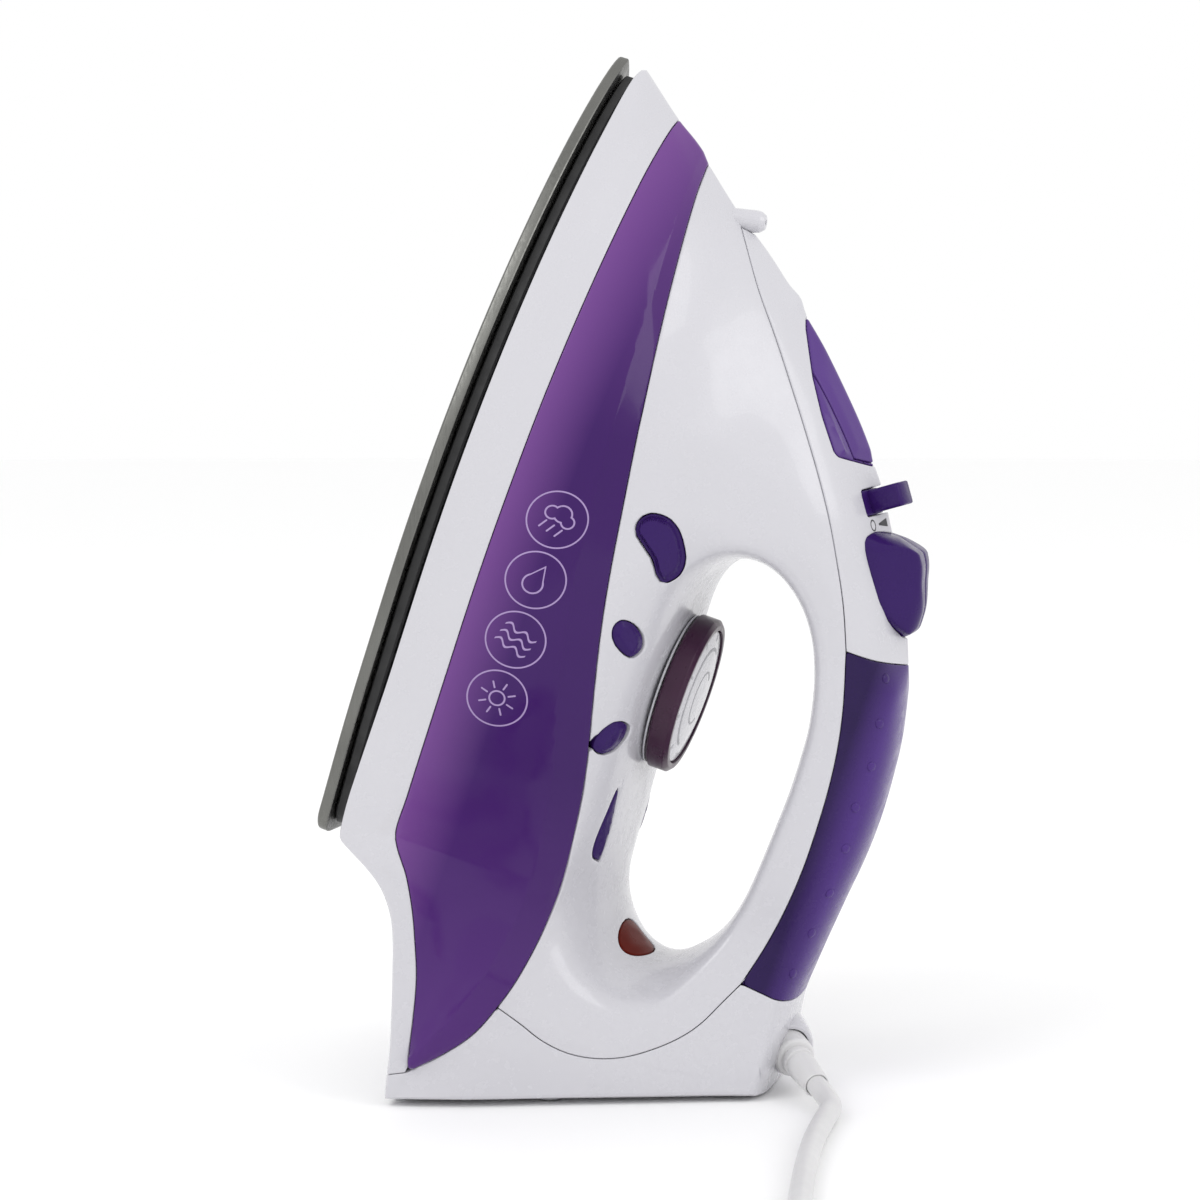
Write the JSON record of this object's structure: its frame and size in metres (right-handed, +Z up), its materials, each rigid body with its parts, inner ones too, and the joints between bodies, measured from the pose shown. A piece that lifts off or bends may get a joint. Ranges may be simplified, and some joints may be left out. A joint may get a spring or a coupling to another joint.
{
  "type": "steam iron",
  "caption": "Corded steam iron standing on its heel: pointed sole, clear-tinted water tank, handle over a round temperature dial, thumb buttons, slider, filler lid and coiled lead.",
  "frame": {"origin": "middle of the heel flat that the iron stands on, on the table, below the handle hole", "axes": "+Z up with the iron standing on its heel, nose uppermost; +X from the sole towards the handle; Y from side to side, -Y the side with the self-clean button"},
  "size_m": [0.156, 0.3363, 0.2837],
  "materials": {
    "sole_metal": "satin coated steel",
    "cast_aluminium": "as cast",
    "steel": "plain",
    "brass": "plain",
    "white_plastic": "gloss, faintly lilac white",
    "tank_plastic": "deep gloss, tinted see-through purple",
    "grip_plastic": "gloss with small raised dots",
    "purple_plastic": "gloss",
    "plum_plastic": "semi-gloss",
    "black_plastic": "matte, heat resistant",
    "natural_plastic": "moulded, natural",
    "lead_plastic": "white cable sheath",
    "black_rubber": "matte",
    "ceramic": "glazed off-white insulator",
    "lamp_plastic": "clear red-brown lens",
    "lamp_glass": "small neon bulb",
    "wire_sleeve": "woven sleeve over wire"
  },
  "bodies": {
    "iron": {"soleplate": "sole_metal", "heater_casting": "cast_aluminium", "heating_element": "steel", "steam_chamber_cover": "steel", "heat_shield": "black_plastic", "skirt": "white_plastic", "water_tank": "tank_plastic", "main_housing": "white_plastic", "handle_cover": "white_plastic", "grip": "grip_plastic", "rear_cover": "white_plastic", "kidney_trim_right": "purple_plastic", "front_drop_trim_left": "purple_plastic", "front_drop_trim_right": "purple_plastic", "rear_drop_trim_left": "purple_plastic", "rear_drop_trim_right": "purple_plastic", "sliver_trim_left": "purple_plastic", "sliver_trim_right": "purple_plastic", "spray_nozzle": "white_plastic", "filler_surround": "tank_plastic", "filler_funnel": "natural_plastic", "valve_seat": "brass", "spray_pump": "natural_plastic", "spray_spring": "steel", "spray_feed_tube": "natural_plastic", "steam_pump": "natural_plastic", "steam_spring": "steel", "steam_feed_tube": "natural_plastic", "spray_hose": "black_rubber", "dial_seat": "white_plastic", "thermostat": "ceramic", "thermal_fuse": "ceramic", "lamp_lens": "lamp_plastic", "neon_lamp": "lamp_glass", "terminal_block": "ceramic", "live_wire": "wire_sleeve", "neutral_wire": "wire_sleeve", "heel_screw_left": "steel", "heel_screw_right": "steel", "lead_tube": "lead_plastic", "lead_coil": "lead_plastic", "lead_tail": "lead_plastic", "coil_tie": "black_rubber", "plug_body": "lead_plastic", "plug_blade_left": "brass", "plug_blade_right": "brass"},
    "dial": {"dial_ring": "plum_plastic", "dial_disc": "white_plastic", "dial_shaft": "steel"},
    "steam_control": {"steam_slider": "purple_plastic"},
    "valve": {"valve_needle": "steel"},
    "spray_push": {"spray_button": "purple_plastic", "spray_plunger": "natural_plastic"},
    "steam_push": {"steam_button": "purple_plastic", "steam_plunger": "natural_plastic"},
    "self_clean": {"self_clean_button": "purple_plastic"},
    "lid": {"filler_door": "tank_plastic"},
    "cord_swivel": {"cord_guard": "lead_plastic"}
  },
  "joints": [
    {"name": "dial_turn", "type": "hinge", "parent": "iron", "child": "dial", "pos_m": [0.02042, 0, 0.10979], "axis": [0.9483, 0, -0.3173], "range_deg": [0, 285]},
    {"name": "steam_slide", "type": "hinge", "parent": "iron", "child": "steam_control", "pos_m": [0.0614, 0, 0.15787], "axis": [-0.27, 0, 0.9628], "range_deg": [-5.2, 35]},
    {"name": "valve_lift", "type": "slide", "parent": "iron", "child": "valve", "axis": [0.9483, 0, -0.3173], "range_m": [-0.0005, 0.0031]},
    {"name": "spray_press", "type": "slide", "parent": "iron", "child": "spray_push", "axis": [-0.9483, 0, 0.3173], "range_m": [0, 0.004], "stiffness_N_per_m": 900, "deforming": ["spray_spring"]},
    {"name": "steam_press", "type": "slide", "parent": "iron", "child": "steam_push", "axis": [-0.9483, 0, 0.3173], "range_m": [0, 0.004], "stiffness_N_per_m": 900, "deforming": ["steam_spring"]},
    {"name": "self_clean_press", "type": "slide", "parent": "iron", "child": "self_clean", "axis": [0, 1, 0], "range_m": [0, 0.003], "stiffness_N_per_m": 900},
    {"name": "lid_open", "type": "hinge", "parent": "iron", "child": "lid", "pos_m": [0.07729, 0, 0.17322], "axis": [0, 1, 0], "range_deg": [0, 75]},
    {"name": "cord_swivel_turn", "type": "hinge", "parent": "iron", "child": "cord_swivel", "pos_m": [0.054, -0.0045, 0.0116], "axis": [0.5093, -0.8251, -0.2445], "range_deg": [-180, 180]}
  ],
  "couplings": [
    {"joint": "valve_lift", "follows": "steam_slide", "m_per_rad": 0.005}
  ]
}
